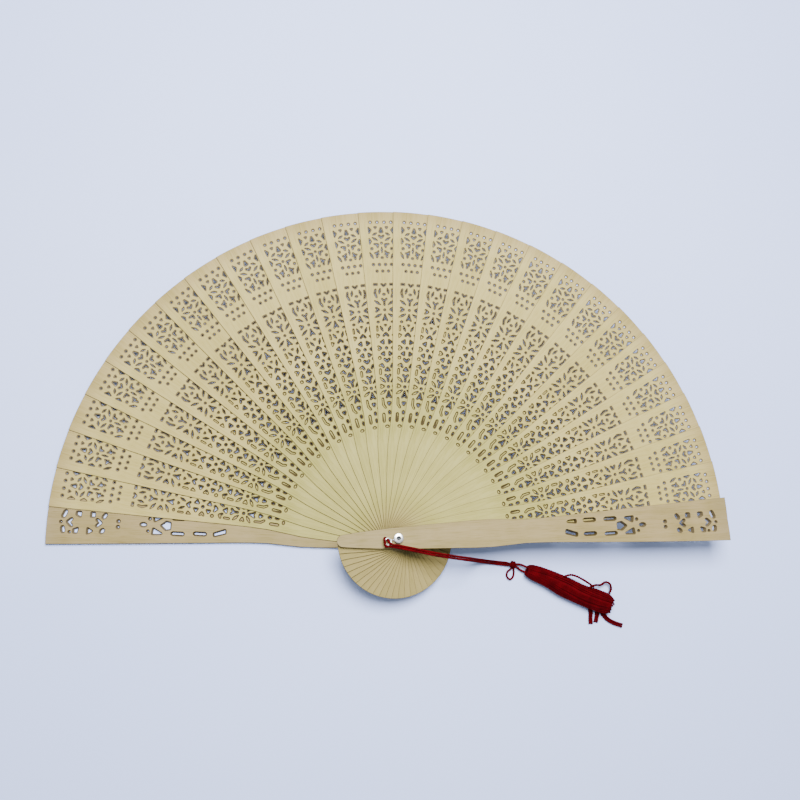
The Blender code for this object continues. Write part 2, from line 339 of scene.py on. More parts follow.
# The fold between the strands: down through the eye, under its wire and back over it
FOLD_ROUTE = (
    (-5.1, -1.2, 21.9),
    (-5.5, -0.7, 21.1),
    (-6.2, -0.2, 20.7),
    (-6.8, 0.1, 21.0),
    (-7.0, -0.4, 21.8),
    (-6.95, -1.3, 22.4),
    (-6.85, -2.4, 22.5),
    (-6.7, -3.3, 22.1),
    (-6.4, -3.9, 21.8),
    (-5.7, -4.1, 21.5),
)
fold = twisted(smooth_route(FOLD_ROUTE, FINE_STEP / 2))
cord_loop = place_in_scene("cord_fold", strands(fold, YARN_RADIUS, 1), cord_dye)
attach(cord_loop, "tassel_ring")
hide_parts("cord_loop")


# --- Knot --------------------------------------------------------------------
# The doubled cord is tied once, as a slip knot: two wraps drawn tight round the
# strands, with a small loop of the same cord standing out below them.
KNOT_SPAN = 3.0 * MM
KNOT_WRAPS = 2.6
KNOT_RADIUS = 1.3 * MM
KNOT_CLOSING = 0.35
KNOT_FLATNESS = 0.85
KNOT_START = 1.2
KNOT_POINTS = 90
KNOT_YARN = 0.3 * MM
KNOT_PITCH = 2.2 * MM
KNOT_LOOP_ROUTE = (
    (61.6, -14.4, 1.2),
    (60.9, -15.9, 1.0),
    (59.1, -17.4, 0.8),
    (58.8, -19.6, 0.8),
    (60.3, -21.2, 0.8),
    (62.0, -19.9, 0.8),
    (62.5, -17.6, 0.8),
    (62.3, -15.9, 1.0),
    (62.2, -14.4, 1.4),
)
knot_low, knot_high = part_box("knot")
knot_centre = (Vector(knot_low) + Vector(knot_high)) / 2
knot_axis = Vector((1, -0.22, 0.05)).normalized()
knot_side = Vector((0, 0, 1)).cross(knot_axis).normalized()
knot_rise = knot_axis.cross(knot_side)
wraps = []
for i in range(KNOT_POINTS + 1):
    t = i / KNOT_POINTS
    turn = 2 * pi * KNOT_WRAPS * t + KNOT_START
    reach = KNOT_RADIUS * (1 - KNOT_CLOSING * (2 * t - 1) ** 4)
    outwards = knot_side * cos(turn) + knot_rise * sin(turn) * KNOT_FLATNESS
    wraps.append(knot_centre + knot_axis * KNOT_SPAN * (t - 0.5) + outwards * reach)
wrap_yarns = twisted(wraps, pitch=KNOT_PITCH)
knot = place_in_scene("slip_knot", strands(wrap_yarns, KNOT_YARN, 1), cord_dye)
loop_yarns = twisted(smooth_route(KNOT_LOOP_ROUTE, FINE_STEP), pitch=KNOT_PITCH)
knot_loop = place_in_scene("slip_knot_loop", strands(loop_yarns, KNOT_YARN, 1), cord_dye)
for piece, node in ((knot, "knot"), (knot_loop, "knot_loop")):
    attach(piece, "tassel_ring")
    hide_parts(node)


# --- Tassel ------------------------------------------------------------------
# A skein of soft crimson thread, still folded as it was wound, so that it shows
# thread folds at both ends. A few threads have come loose along its upper edge
# and at its end.
THREAD_PLY = 0.27 * MM
THREAD_WIND = 0.24 * MM
THREAD_PITCH = 2.4 * MM
LOOSE_PLY = 0.42 * MM
LOOSE_WIND = 0.3 * MM
THREAD_STEP = 0.6 * MM
THREAD_HOLLOW_COLOUR = (0.04, 0.0004, 0.0014, 1.0)
THREAD_FACE_COLOUR = (0.085, 0.0012, 0.0034, 1.0)
SKEIN_LOOPS = 26
SKEIN_FLATNESS = 0.58
SKEIN_INSET = 0.45
SKEIN_STATIONS = (
    (69.4, -16.7, 3.3),
    (72.5, -17.9, 4.2),
    (80, -20.9, 4.8),
    (88, -24.8, 5.6),
    (97, -28.9, 5.5),
    (105, -31.8, 5.9),
    (110.2, -33.7, 5.6),
    (112.4, -34.5, 4.6),
)
LOOSE_THREADS = {
    "arch": (
        (87.5, -19.8, 5.6),
        (91.0, -18.9, 6.0),
        (94.5, -19.8, 6.2),
        (99, -22.2, 6.0),
        (103.5, -25.2, 5.6),
    ),
    "curl": (
        (100.5, -25.6, 5.8),
        (104.5, -24.3, 4.4),
        (108.0, -24.3, 3.0),
        (110.6, -22.9, 2.6),
        (113.0, -23.6, 2.4),
        (113.8, -26.2, 2.4),
        (112.6, -28.6, 2.8),
    ),
    "stub": ((109.0, -36.0, 2.2), (110.8, -37.4, 1.6), (112.4, -38.4, 1.1)),
}
THREAD_TAIL_SPREAD = 0.58 * MM
CORE_SHARE = 0.82
TAIL_ROUTES = {
    "left": ((102.4, -36.0, 1.6), (102.9, -38.3, 0.9), (102.8, -41, 0.8), (102.8, -44.0, 0.8)),
    "middle": ((106.2, -36.6, 1.6), (106.4, -38.9, 0.9), (106.0, -41, 0.8), (105.5, -43.2, 0.8)),
    "right": (
        (108.0, -37.0, 1.4),
        (109.4, -39, 0.8),
        (111.6, -41.6, 0.8),
        (115, -43.6, 0.8),
        (119.7, -45.2, 0.8),
    ),
}
thread_dye = crimson("thread_dye", THREAD_HOLLOW_COLOUR, THREAD_FACE_COLOUR)
draw = random.Random(11)
skein_lift = max(half for x, y, half in SKEIN_STATIONS) * SKEIN_FLATNESS + 0.1


def skein_line(angle, depth, wander):
    """Route in millimetres of one thread along the skein, at an angle round its section."""
    line = []
    for i, (x, y, half) in enumerate(SKEIN_STATIONS):
        before = SKEIN_STATIONS[max(i - 1, 0)]
        after = SKEIN_STATIONS[min(i + 1, len(SKEIN_STATIONS) - 1)]
        along = Vector((after[0] - before[0], after[1] - before[1], 0)).normalized()
        across = Vector((-along.y, along.x, 0))
        turn = angle + wander * sin(1.3 * i + angle)
        reach = (half - SKEIN_INSET) * depth
        place = Vector((x, y, skein_lift)) + across * reach * cos(turn)
        line.append(place + Vector((0, 0, reach * SKEIN_FLATNESS * sin(turn))))
    return line


def folded(there, back):
    """Closed route of a thread that runs along one line and returns along another."""
    head = (there[0] + back[0]) / 2
    head += (there[0] - there[1]).normalized() * draw.uniform(0.3, 1.1)
    foot = (there[-1] + back[-1]) / 2
    foot += (there[-1] - there[-2]).normalized() * draw.uniform(0.2, 1.6)
    return there + [foot] + list(reversed(back)) + [head]


plies = []
for i in range(SKEIN_LOOPS):
    angle = 2 * pi * (i + draw.uniform(-0.2, 0.2)) / SKEIN_LOOPS
    there = skein_line(angle, draw.uniform(0.86, 1.0), draw.uniform(0.05, 0.2))
    back_angle = angle + draw.uniform(0.16, 0.4)
    back = skein_line(back_angle, draw.uniform(0.55, 0.97), draw.uniform(0.05, 0.2))
    route = smooth_route(folded(there, back), THREAD_STEP, True)
    plies += twisted(route, THREAD_WIND, THREAD_PITCH, 2, draw.uniform(0, pi))
skein_mesh = strands(plies, THREAD_PLY, 0, True)


def core_half(t):
    """Half the width, in millimetres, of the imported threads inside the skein."""
    return SKEIN_STATIONS[round(t * (len(SKEIN_STATIONS) - 1))][2] * CORE_SHARE


core_line = [Vector((x, y, 0)) * MM for x, y, half in SKEIN_STATIONS]
core_mesh = strands([core_line], MM, 4, swell=core_half)
lift = Matrix.Translation((0, 0, skein_lift * MM))
core_mesh.transform(lift @ Matrix.Diagonal((1, 1, SKEIN_FLATNESS, 1)))
bm = bmesh.new()
bm.from_mesh(skein_mesh)
bm.from_mesh(core_mesh)
bm.to_mesh(skein_mesh)
bm.free()
tassel = place_in_scene("tassel_skein", skein_mesh, thread_dye)
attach(tassel, "tassel_ring")
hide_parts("tassel")

loose_plies = []
for points in LOOSE_THREADS.values():
    loose_plies += twisted(smooth_route(points, THREAD_STEP), LOOSE_WIND, THREAD_PITCH, 2)
loose = place_in_scene("loose_threads", strands(loose_plies, LOOSE_PLY, 1), thread_dye)
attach(loose, "tassel_ring")
for name, points in TAIL_ROUTES.items():
    tail_plies = []
    for side in (-1, 1):
        route = beside(smooth_route(points, THREAD_STEP), side * THREAD_TAIL_SPREAD)
        tail_plies += twisted(route, LOOSE_WIND, THREAD_PITCH, 2, side)
    tail = place_in_scene(f"thread_tail_{name}", strands(tail_plies, LOOSE_PLY, 1), thread_dye)
    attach(tail, "tassel_ring")
    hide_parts(f"tail_{name}")


# --- Wire ring ---------------------------------------------------------------
# Bright plated wire bent into two eyes with a short neck between them. One eye
# turns on the rivet under its head; the other stands up a little for the cord.
WIRE_RADIUS = 0.42 * MM
WIRE_SIDES = 16
RIVET_EYE_RADIUS = 1.75 * MM
RIVET_EYE_LIFT = 20.22 * MM
CORD_EYE_RADIUS = 1.6 * MM
CORD_EYE_CENTRE = (-5.2 * MM, -1.7 * MM)
CORD_EYE_LIFT = 1.1 * MM
CORD_EYE_TILT = radians(14)
NECK_BEND = 2.75 * MM
NECK_RADIUS = 0.96 * WIRE_RADIUS
NECK_STEP = 0.15 * MM
EYE_STEPS = 48
METAL_COLOUR = (0.97, 0.97, 0.97, 1.0)
# Painted shade in the rivet's dimple, fading into the metal between these distances from the axis
PAINTED_DIMPLE_SHADE_COLOUR = (0.03, 0.033, 0.036, 1.0)
PAINTED_DIMPLE_SHADE_REACH = (0.9 * MM, 1.05 * MM)


def wire_eye(bm, radius, place):
    """A wire's round section spun into an eye, then placed."""
    upright = Matrix.Translation((radius, 0, 0)) @ Matrix.Rotation(pi / 2, 4, "X")
    section = bmesh.ops.create_circle(bm, segments=WIRE_SIDES, radius=WIRE_RADIUS, matrix=upright)
    edges = list({edge for vert in section["verts"] for edge in vert.link_edges})
    before = set(bm.verts) - set(section["verts"])
    bmesh.ops.spin(
        bm,
        geom=section["verts"] + edges,
        axis=(0, 0, 1),
        cent=(0, 0, 0),
        angle=2 * pi,
        steps=EYE_STEPS,
        use_merge=True,
    )
    bmesh.ops.transform(bm, matrix=place, verts=[vert for vert in bm.verts if vert not in before])


# Plated metal with fine scuffs, painted dark only near the rivet's axis as painted shade in its
# dimple
bright_metal, shader, start = finish("bright_metal", Metallic=1.0)
where = start.node("ShaderNodeTexCoord", {}, {}, "Object")
scuffs = noise(where, 900.0, 4.0)
from_centre = where.node("ShaderNodeMapping", {}, {"Vector": where, "Scale": (1.0, 1.0, 0.0)})
from_centre = where.node("ShaderNodeVectorMath", {"operation": "LENGTH"}, {0: from_centre}, 1)
feed(shader, "Base Color", mix(from_centre.between(*PAINTED_DIMPLE_SHADE_REACH), PAINTED_DIMPLE_SHADE_COLOUR, METAL_COLOUR))
feed(shader, "Roughness", 0.3 + scuffs.between(0.45, 0.75) * 0.2)
feed(shader, "Normal", bump(scuffs, 0.15, 0.02 * MM))

eye_away = Vector((*CORD_EYE_CENTRE, 0)).normalized()
level = Matrix.Translation((0, 0, RIVET_EYE_LIFT))
cord_eye = Vector((*CORD_EYE_CENTRE, RIVET_EYE_LIFT + CORD_EYE_LIFT))
tilt = Matrix.Rotation(-CORD_EYE_TILT, 4, Vector((0, 0, 1)).cross(eye_away))
bm = bmesh.new()
wire_eye(bm, RIVET_EYE_RADIUS, level)
wire_eye(bm, CORD_EYE_RADIUS, Matrix.Translation(cord_eye) @ tilt)
bmesh.ops.remove_doubles(bm, verts=bm.verts, dist=0.000001)
bmesh.ops.recalc_face_normals(bm, faces=bm.faces)
near_rim = cord_eye - tilt @ (eye_away * CORD_EYE_RADIUS)
neck = [
    level.translation + eye_away * RIVET_EYE_RADIUS,
    level.translation + eye_away * NECK_BEND,
    near_rim,
]
neck_line = smooth_route([point / MM for point in neck], NECK_STEP)
bm.from_mesh(strands([neck_line], NECK_RADIUS, 4))
ring_mesh = bpy.data.meshes.new("wire_ring")
bm.to_mesh(ring_mesh)
bm.free()
ring_mesh.shade_smooth()
ring = place_in_scene("wire_ring", ring_mesh, bright_metal)
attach(ring, "tassel_ring")
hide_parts("tassel_ring")


# --- Rivet -------------------------------------------------------------------
# One turned piece of the same bright metal: a low domed front head with a
# dimple where it was closed, a shank through all the sticks, a flat rear head.
SHANK_RADIUS = 1.0 * MM
REAR_HEAD_RADIUS = 2.4 * MM
REAR_HEAD_HEIGHT = 0.8 * MM
REAR_HEAD_EDGE = 0.15 * MM
FRONT_HEAD_RADIUS = 2.45 * MM
FRONT_HEAD_BASE = 20.74 * MM
FRONT_HEAD_EDGE = 0.08 * MM
DOME_RISE = 0.55 * MM
DOME_FULLNESS = 0.8
DIMPLE_RADIUS = 1.0 * MM
DIMPLE_FLOOR = 0.72
DIMPLE_DEPTH = 0.9 * MM
RIVET_STEPS = 64
rivet_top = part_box("rivet")[1][2]
dome_edge = rivet_top - DOME_RISE
profile = [(0, rivet_top - DIMPLE_DEPTH)]
for t in (0, 0.35, 0.7, 0.9):
    radius = DIMPLE_RADIUS * (DIMPLE_FLOOR + (1 - DIMPLE_FLOOR) * t)
    profile.append((radius, rivet_top - DIMPLE_DEPTH * (1 - t ** 2) * 0.9))
for degrees in range(27, 90, 9):
    turn = radians(degrees)
    height = dome_edge + DOME_RISE * cos(turn) ** DOME_FULLNESS
    profile.append((FRONT_HEAD_RADIUS * sin(turn), height))
profile += [
    (FRONT_HEAD_RADIUS, dome_edge),
    (FRONT_HEAD_RADIUS, FRONT_HEAD_BASE + FRONT_HEAD_EDGE),
    (FRONT_HEAD_RADIUS - FRONT_HEAD_EDGE, FRONT_HEAD_BASE),
    (SHANK_RADIUS, FRONT_HEAD_BASE),
    (SHANK_RADIUS, REAR_HEAD_HEIGHT),
    (REAR_HEAD_RADIUS - REAR_HEAD_EDGE, REAR_HEAD_HEIGHT),
    (REAR_HEAD_RADIUS, REAR_HEAD_HEIGHT - REAR_HEAD_EDGE),
    (REAR_HEAD_RADIUS, REAR_HEAD_EDGE),
    (REAR_HEAD_RADIUS - REAR_HEAD_EDGE, 0),
    (0, 0),
]
bm = bmesh.new()
verts = [bm.verts.new((radius, 0, height)) for radius, height in profile]
edges = [bm.edges.new(pair) for pair in zip(verts, verts[1:])]
bmesh.ops.spin(
    bm,
    geom=verts + edges,
    axis=(0, 0, 1),
    cent=(0, 0, 0),
    angle=2 * pi,
    steps=RIVET_STEPS,
    use_merge=True,
)
bmesh.ops.remove_doubles(bm, verts=bm.verts, dist=0.000001)
bmesh.ops.recalc_face_normals(bm, faces=bm.faces)
rivet_mesh = bpy.data.meshes.new("closed_rivet")
bm.to_mesh(rivet_mesh)
bm.free()
rivet_mesh.shade_smooth()
rivet_mesh.set_sharp_from_angle(angle=radians(35))
rivet = place_in_scene("closed_rivet", rivet_mesh, bright_metal)
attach(rivet, "rear_guard")
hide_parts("rivet")


# --- Leaves ------------------------------------------------------------------
# 26 thin leaves of pale close-grained wood, all cut through by a burning beam with
# the same fretwork and stacked on the rivet, each turned a little further than the
# one below. Their round tails make one disc.
LEAF_COUNT = 26
LEAF_EDGE = 0.16 * MM
TAIL_REACH = 29.7 * MM
TAIL_ROUNDING = 26.9 * MM
TIP_SHARE = 0.999

# What the beam takes away, and how much narrower the holes are below, in millimetres
BEAM_WIDTH = 0.34
UPPER_WIDENING = 0.06
LOWER_WIDENING = 0.16
LEAF_TAPER = 0.62

# The most that a side may move, as a share of the hole's width there
NARROWEST = 0.37

# How finely round ends, corners and dots are drawn
CORNER_STEPS = 3
DOT_SIDES = 10

# How far some leaves have slipped from even spacing, in degrees
LEAF_SLIPS = ((0, 0.35), (8, 0.25), (13, -0.35), (17, 0.3), (20, -0.12), (24, 0.05), (27, 0.0))

# The wood's grain, and the darkening of cut walls and edges, from 0 to 1: beam scorch and painted
# shade
GRAIN_STRETCH = 26.0
GRAIN_SHIFT = 0.06
EDGE_SCORCH_AND_PAINTED_SHADOW = 0.75
# Wall colours, beam scorch with painted shade; the inner one is darker, painted shade of the deeper
# stack
INNER_SCORCH_AND_PAINTED_SHADE = (0.07, 0.051, 0.019, 1.0)
OUTER_SCORCH_AND_PAINTED_SHADE = (0.13, 0.1, 0.052, 1.0)


def star(centre, tips, width, tip_width):
    """Outline of strokes that run from one centre to each tip, with round ends.

    Each outline is widened by the beam that cuts it.
    """
    width += BEAM_WIDTH
    tip_width += BEAM_WIDTH
    spokes = []
    for tip in tips:
        spokes.append((atan2(tip[1] - centre[1], tip[0] - centre[0]), tip))
    spokes.sort()
    outline = []
    for i, (bearing, tip) in enumerate(spokes):
        for step in range(CORNER_STEPS + 1):
            turn = bearing - pi / 2 + pi * step / CORNER_STEPS
            outline.append((tip[0] + tip_width / 2 * cos(turn), tip[1] + tip_width / 2 * sin(turn)))
        following = spokes[(i + 1) % len(spokes)][0]
        gap = (following - bearing) % (2 * pi) or 2 * pi
        if gap < pi - 0.01:
            corners = [(bearing + gap / 2, width / 2 / sin(gap / 2))]
        else:
            steps = round((gap - pi) / (pi / 4))
            turn_step = (gap - pi) / max(steps, 1)
            first = bearing + pi / 2
            corners = [(first + turn_step * step, width / 2) for step in range(steps + 1)]
        for turn, reach in corners:
            outline.append((centre[0] + reach * cos(turn), centre[1] + reach * sin(turn)))
    return outline


def leaflet(begin, end, width):
    """A stroke that is widest in its middle and nearly pointed at both ends."""
    middle = ((begin[0] + end[0]) / 2, (begin[1] + end[1]) / 2)
    return star(middle, (begin, end), width, width * 0.3)


def slot(begin, end, width):
    """A straight slot with round ends, from end to end."""
    length = hypot(end[0] - begin[0], end[1] - begin[1])
    inset = width / 2 / length
    inner = [
        tuple(a + (b - a) * share for a, b in zip(begin, end))
        for share in (inset, 1 - inset)
    ]
    return star(((begin[0] + end[0]) / 2, (begin[1] + end[1]) / 2), inner, width, width)


def plate(corners, rounding):
    """Outline of a convex shape whose corners, given anticlockwise, are rounded."""
    outline = []
    for i, corner in enumerate(corners):
        before = corners[i - 1]
        after = corners[(i + 1) % len(corners)]
        begin = atan2(corner[1] - before[1], corner[0] - before[0]) - pi / 2
        turned = (atan2(after[1] - corner[1], after[0] - corner[0]) - pi / 2 - begin) % (2 * pi)
        inwards = begin + turned / 2
        reach = rounding / cos(turned / 2)
        centre = (corner[0] - reach * cos(inwards), corner[1] - reach * sin(inwards))
        radius = rounding + BEAM_WIDTH / 2
        for step in range(CORNER_STEPS):
            turn = begin + turned * step / (CORNER_STEPS - 1)
            outline.append((centre[0] + radius * cos(turn), centre[1] + radius * sin(turn)))
    return outline


def dot(centre, width, height=None):
    """A round or oval hole."""
    across = (width + BEAM_WIDTH) / 2
    along = ((height or width) + BEAM_WIDTH) / 2
    turns = [2 * pi * (i + 0.5) / DOT_SIDES for i in range(DOT_SIDES)]
    return [(centre[0] + across * cos(turn), centre[1] + along * sin(turn)) for turn in turns]


def mirrored(outlines):
    """Each outline and its mirror image across the leaf's centre line."""
    return outlines + [[(-across, reach) for across, reach in outline] for outline in outlines]


# Holes from the tip inwards, as (distance across, distance from the rivet)
TOP_PANEL = mirrored([
    dot((1.88, 164.3), 1.6),
    dot((5.5, 164.3), 1.6),
    plate([(3.0, 160.3), (4.1, 162.0), (1.9, 162.0)], 0.3),
    plate([(5.0, 160.1), (6.5, 157.4), (6.9, 162.2)], 0.25),
    leaflet((2.4, 158.4), (4.4, 157.3), 1.25),
    leaflet((4.7, 155.9), (2.1, 154.4), 1.2),
    plate([(5.1, 153.9), (6.4, 151.6), (6.7, 156.2)], 0.25),
    star((1.95, 152.1), [(3.7, 152.4), (2.1, 150.7)], 1.25, 0.95),
    dot((5.2, 149.9), 1.5),
    star((2.5, 147.3), [(3.6, 147.5), (1.8, 148.5), (1.8, 146.8), (2.65, 145.2)], 1.3, 0.9),
    leaflet((6.3, 147.7), (4.7, 144.6), 1.25),
]) + [
    plate(
        [(-0.4, 161.4), (-1.25, 159.0), (-0.7, 158.4), (0.7, 158.4), (1.25, 159.0), (0.4, 161.4)],
        0.18,
    ),
    star((0, 155.9), [(1.1, 156.9), (-1.1, 156.9)], 1.15, 1.1),
    dot((0, 152.9), 1.3),
    leaflet((0, 150.7), (0, 147.7), 1.0),
    dot((0, 145.0), 1.45, 1.3),
]
DOT_ROWS = mirrored([dot((1.6, 141.3), 1.6), dot((4.75, 141.3), 1.6), dot((3.0, 137.75), 1.5)])
DOT_ROWS.append(dot((0, 137.75), 1.5))
FLOWER_PANEL = mirrored([
    plate([(3.1, 129.95), (5.4, 129.95), (5.4, 131.25), (3.1, 131.25)], 0.35),
    star((4.75, 126.0), [(4.35, 127.9), (3.95, 123.8)], 1.15, 0.9),
    leaflet((1.9, 128.4), (2.5, 125.6), 1.3),
    leaflet((5.0, 121.9), (2.1, 119.8), 1.3),
    star((3.05, 117.15), [(4.5, 118.1), (4.45, 116.1)], 1.1, 0.9),
    leaflet((5.1, 113.0), (1.9, 114.8), 1.3),
    dot((3.7, 110.6), 1.5, 1.2),
    leaflet((2.65, 108.3), (1.4, 105.8), 1.2),
    slot((4.3, 108.7), (4.3, 105.6), 0.85),
    plate([(3.0, 103.8), (4.65, 101.7), (4.9, 104.6)], 0.25),
]) + [
    star((0, 129.75), [(1.05, 130.75), (-1.05, 130.75)], 1.1, 1.05),
    dot((0, 125.3), 1.7, 1.3),
    star((0, 121.6), [(1.15, 122.9), (-1.15, 122.9), (0, 119.6)], 0.95, 0.9),
    dot((0, 117.0), 1.3),
    star((0, 113.0), [(0, 114.6), (1.15, 111.4), (-1.15, 111.4)], 1.35, 0.7),
    plate([(0, 107.95), (0.95, 109.4), (-0.95, 109.4)], 0.3),
    star((0, 104.6), [(1.2, 103.3), (-1.2, 103.3)], 1.15, 1.05),
]
CROSS_PANEL = mirrored([
    plate([(1.05, 98.6), (3.4, 100.0), (1.1, 101.6)], 0.3),
    plate([(1.0, 92.5), (3.3, 93.8), (1.05, 95.3)], 0.3),
    star((2.95, 96.85), [(4.15, 97.7), (4.1, 95.95)], 1.0, 0.85),
    dot((3.7, 91.7), 1.5),
    star((2.7, 88.2), [(1.95, 86.9), (3.9, 87.6)], 1.1, 0.85),
    slot((3.7, 86.1), (3.75, 82.9), 0.9),
]) + [
    dot((0, 96.9), 1.4),
    star((0, 89.95), [(1.15, 91.0), (-1.15, 91.0)], 1.25, 1.1),
    plate([(-1.75, 84.75), (1.75, 84.75), (0, 87.1)], 0.3),
]
LOWER_PANEL = mirrored([
    leaflet((3.9, 81.3), (1.5, 79.1), 1.2),
    star((2.5, 76.9), [(3.65, 77.6), (3.65, 76.2)], 0.95, 0.8),
    leaflet((4.0, 72.9), (1.3, 74.8), 1.2),
    star((2.95, 67.4), [(3.15, 70.5), (1.95, 65.9)], 1.0, 0.8),
    slot((3.0, 63.1), (3.0, 58.3), 1.2),
    dot((1.5, 56.3), 1.8, 1.2),
]) + [
    star((0, 81.5), [(1.2, 82.7), (-1.2, 82.7), (0, 79.5)], 0.95, 0.9),
    dot((0, 76.6), 1.3),
    star((0, 72.7), [(0, 74.2), (1.15, 71.1), (-1.15, 71.1)], 1.35, 0.7),
    plate([(0, 66.3), (1.35, 68.9), (-1.35, 68.9)], 0.45),
    dot((0, 63.4), 1.3, 2.0),
    dot((0, 59.7), 1.0, 2.2),
]


def bearing_of(node):
    """Direction in which a stick points, from the round end of its solid."""
    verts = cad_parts[node].data.vertices
    places = {(round(vert.co.x, 6), round(vert.co.y, 6)) for vert in verts}
    farthest = max(hypot(*place) for place in places)
    tip = [place for place in places if hypot(*place) > TIP_SHARE * farthest]
    return atan2(sum(y for x, y in tip), sum(x for x, y in tip))


def stick_rims(bm, node):
    """The stick's outline and rivet hole, lifted off its solid and laid along +X at z = 0.

    A leaf's tail is rounded about the rivet.
    """
    bm.from_mesh(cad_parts[node].data)
    bmesh.ops.remove_doubles(bm, verts=bm.verts, dist=0.000001)
    bm.normal_update()
    others = [face for face in bm.faces if face.normal.z < 0.9]
    bmesh.ops.delete(bm, geom=others, context="FACES")
    inner = [edge for edge in bm.edges if len(edge.link_faces) == 2]
    bmesh.ops.delete(bm, geom=inner, context="EDGES")
    turn = Matrix.Rotation(-bearing_of(node), 4, "Z")
    bmesh.ops.transform(bm, matrix=turn, verts=bm.verts)
    for vert in bm.verts:
        vert.co.z = 0
        if node == "leaf_01" and vert.co.x < -TAIL_ROUNDING:
            vert.co.x = -((TAIL_REACH ** 2 - vert.co.y ** 2) ** 0.5)


def narrowed(outline, amount):
    """The outline moved inwards by an amount, or by less where the hole is narrow.

    A negative amount widens it.
    """
    sides = list(zip(outline, outline[1:] + outline[:1]))
    turned = sum(a[0] * b[1] - b[0] * a[1] for a, b in sides)
    moved = []
    for i, corner in enumerate(outline):
        before = outline[i - 1]
        after = outline[(i + 1) % len(outline)]
        along = Vector((after[0] - before[0], after[1] - before[1])).normalized()
        inwards = Vector((-along.y, along.x)) * (1 if turned > 0 else -1)
        spans = []
        for a, b in sides:
            side = Vector((b[0] - a[0], b[1] - a[1]))
            begin = Vector((a[0] - corner[0], a[1] - corner[1]))
            slope = inwards.cross(side)
            if abs(slope) > 0.00001 and 0 <= begin.cross(inwards) / slope <= 1:
                spans.append(begin.cross(side) / slope)
        span = min([span for span in spans if span > 0.05], default=amount)
        shift = min(amount, NARROWEST * span)
        moved.append((corner[0] + inwards.x * shift, corner[1] + inwards.y * shift))
    return moved


def pierced_stick(node, fretwork, thickness, edge_width, taper):
    """A flat stick with holes cut through it, laid along +X with its underside at z = 0.

    The holes are narrower at the underside, by the taper on every side.
    """
    bm = bmesh.new()
    stick_rims(bm, node)
    rim_mark = bm.verts.layers.float.new("rim")
    underside = []
    for outline in fretwork:
        verts = [bm.verts.new((reach * MM, across * MM, 0)) for across, reach in outline]
        for vert, following in zip(verts, verts[1:] + verts[:1]):
            bm.edges.new((vert, following))
            vert[rim_mark] = 1
        underside += zip(verts, narrowed(outline, taper))
    bmesh.ops.triangle_fill(bm, use_beauty=True, use_dissolve=False, edges=bm.edges)
    raised = bmesh.ops.extrude_face_region(bm, geom=bm.faces[:], use_keep_orig=True)
    top = [item for item in raised["geom"] if isinstance(item, bmesh.types.BMVert)]
    bmesh.ops.translate(bm, vec=(0, 0, thickness), verts=top)
    for vert, (across, reach) in underside:
        vert.co = (reach * MM, across * MM, 0)
    bmesh.ops.recalc_face_normals(bm, faces=bm.faces)
    # Hole walls get full darkening and outer walls less: beam scorch, painted shade in holes,
    # painted shadow at edges
    scorch_and_painted_shade = bm.faces.layers.float.new("scorch_and_painted_shade")
    for face in bm.faces:
        heights = [vert.co.z for vert in face.verts]
        if max(heights) - min(heights) > thickness / 2:
            in_hole = min(vert[rim_mark] for vert in face.verts)
            face[scorch_and_painted_shade] = EDGE_SCORCH_AND_PAINTED_SHADOW + (1 - EDGE_SCORCH_AND_PAINTED_SHADOW) * in_hole
    edges = []
    for edge in bm.edges:
        level_sides = {abs(face.normal.z) > 0.5 for face in edge.link_faces}
        if len(level_sides) == 2 and not any(vert[rim_mark] for vert in edge.verts):
            edges.append(edge)
    bmesh.ops.bevel(
        bm,
        geom=edges,
        offset=edge_width,
        offset_type="OFFSET",
        segments=1,
        profile=0.5,
        affect="EDGES",
        material=-1,
        clamp_overlap=True,
    )
    bm.verts.layers.float.remove(bm.verts.layers.float["rim"])
    # Bevels are darkened too, as a painted shadow line along each stick's edges
    scorch_and_painted_shade = bm.faces.layers.float["scorch_and_painted_shade"]
    for face in bm.faces:
        if abs(face.normal.z) < 0.9:
            face[scorch_and_painted_shade] = max(face[scorch_and_painted_shade], EDGE_SCORCH_AND_PAINTED_SHADOW)
    grain = bm.loops.layers.uv.new("grain")
    for face in bm.faces:
        for loop in face.loops:
            loop[grain].uv = (loop.vert.co.x, loop.vert.co.y + loop.vert.co.z)
    mesh = bpy.data.meshes.new("stick")
    bm.to_mesh(mesh)
    bm.free()
    return mesh


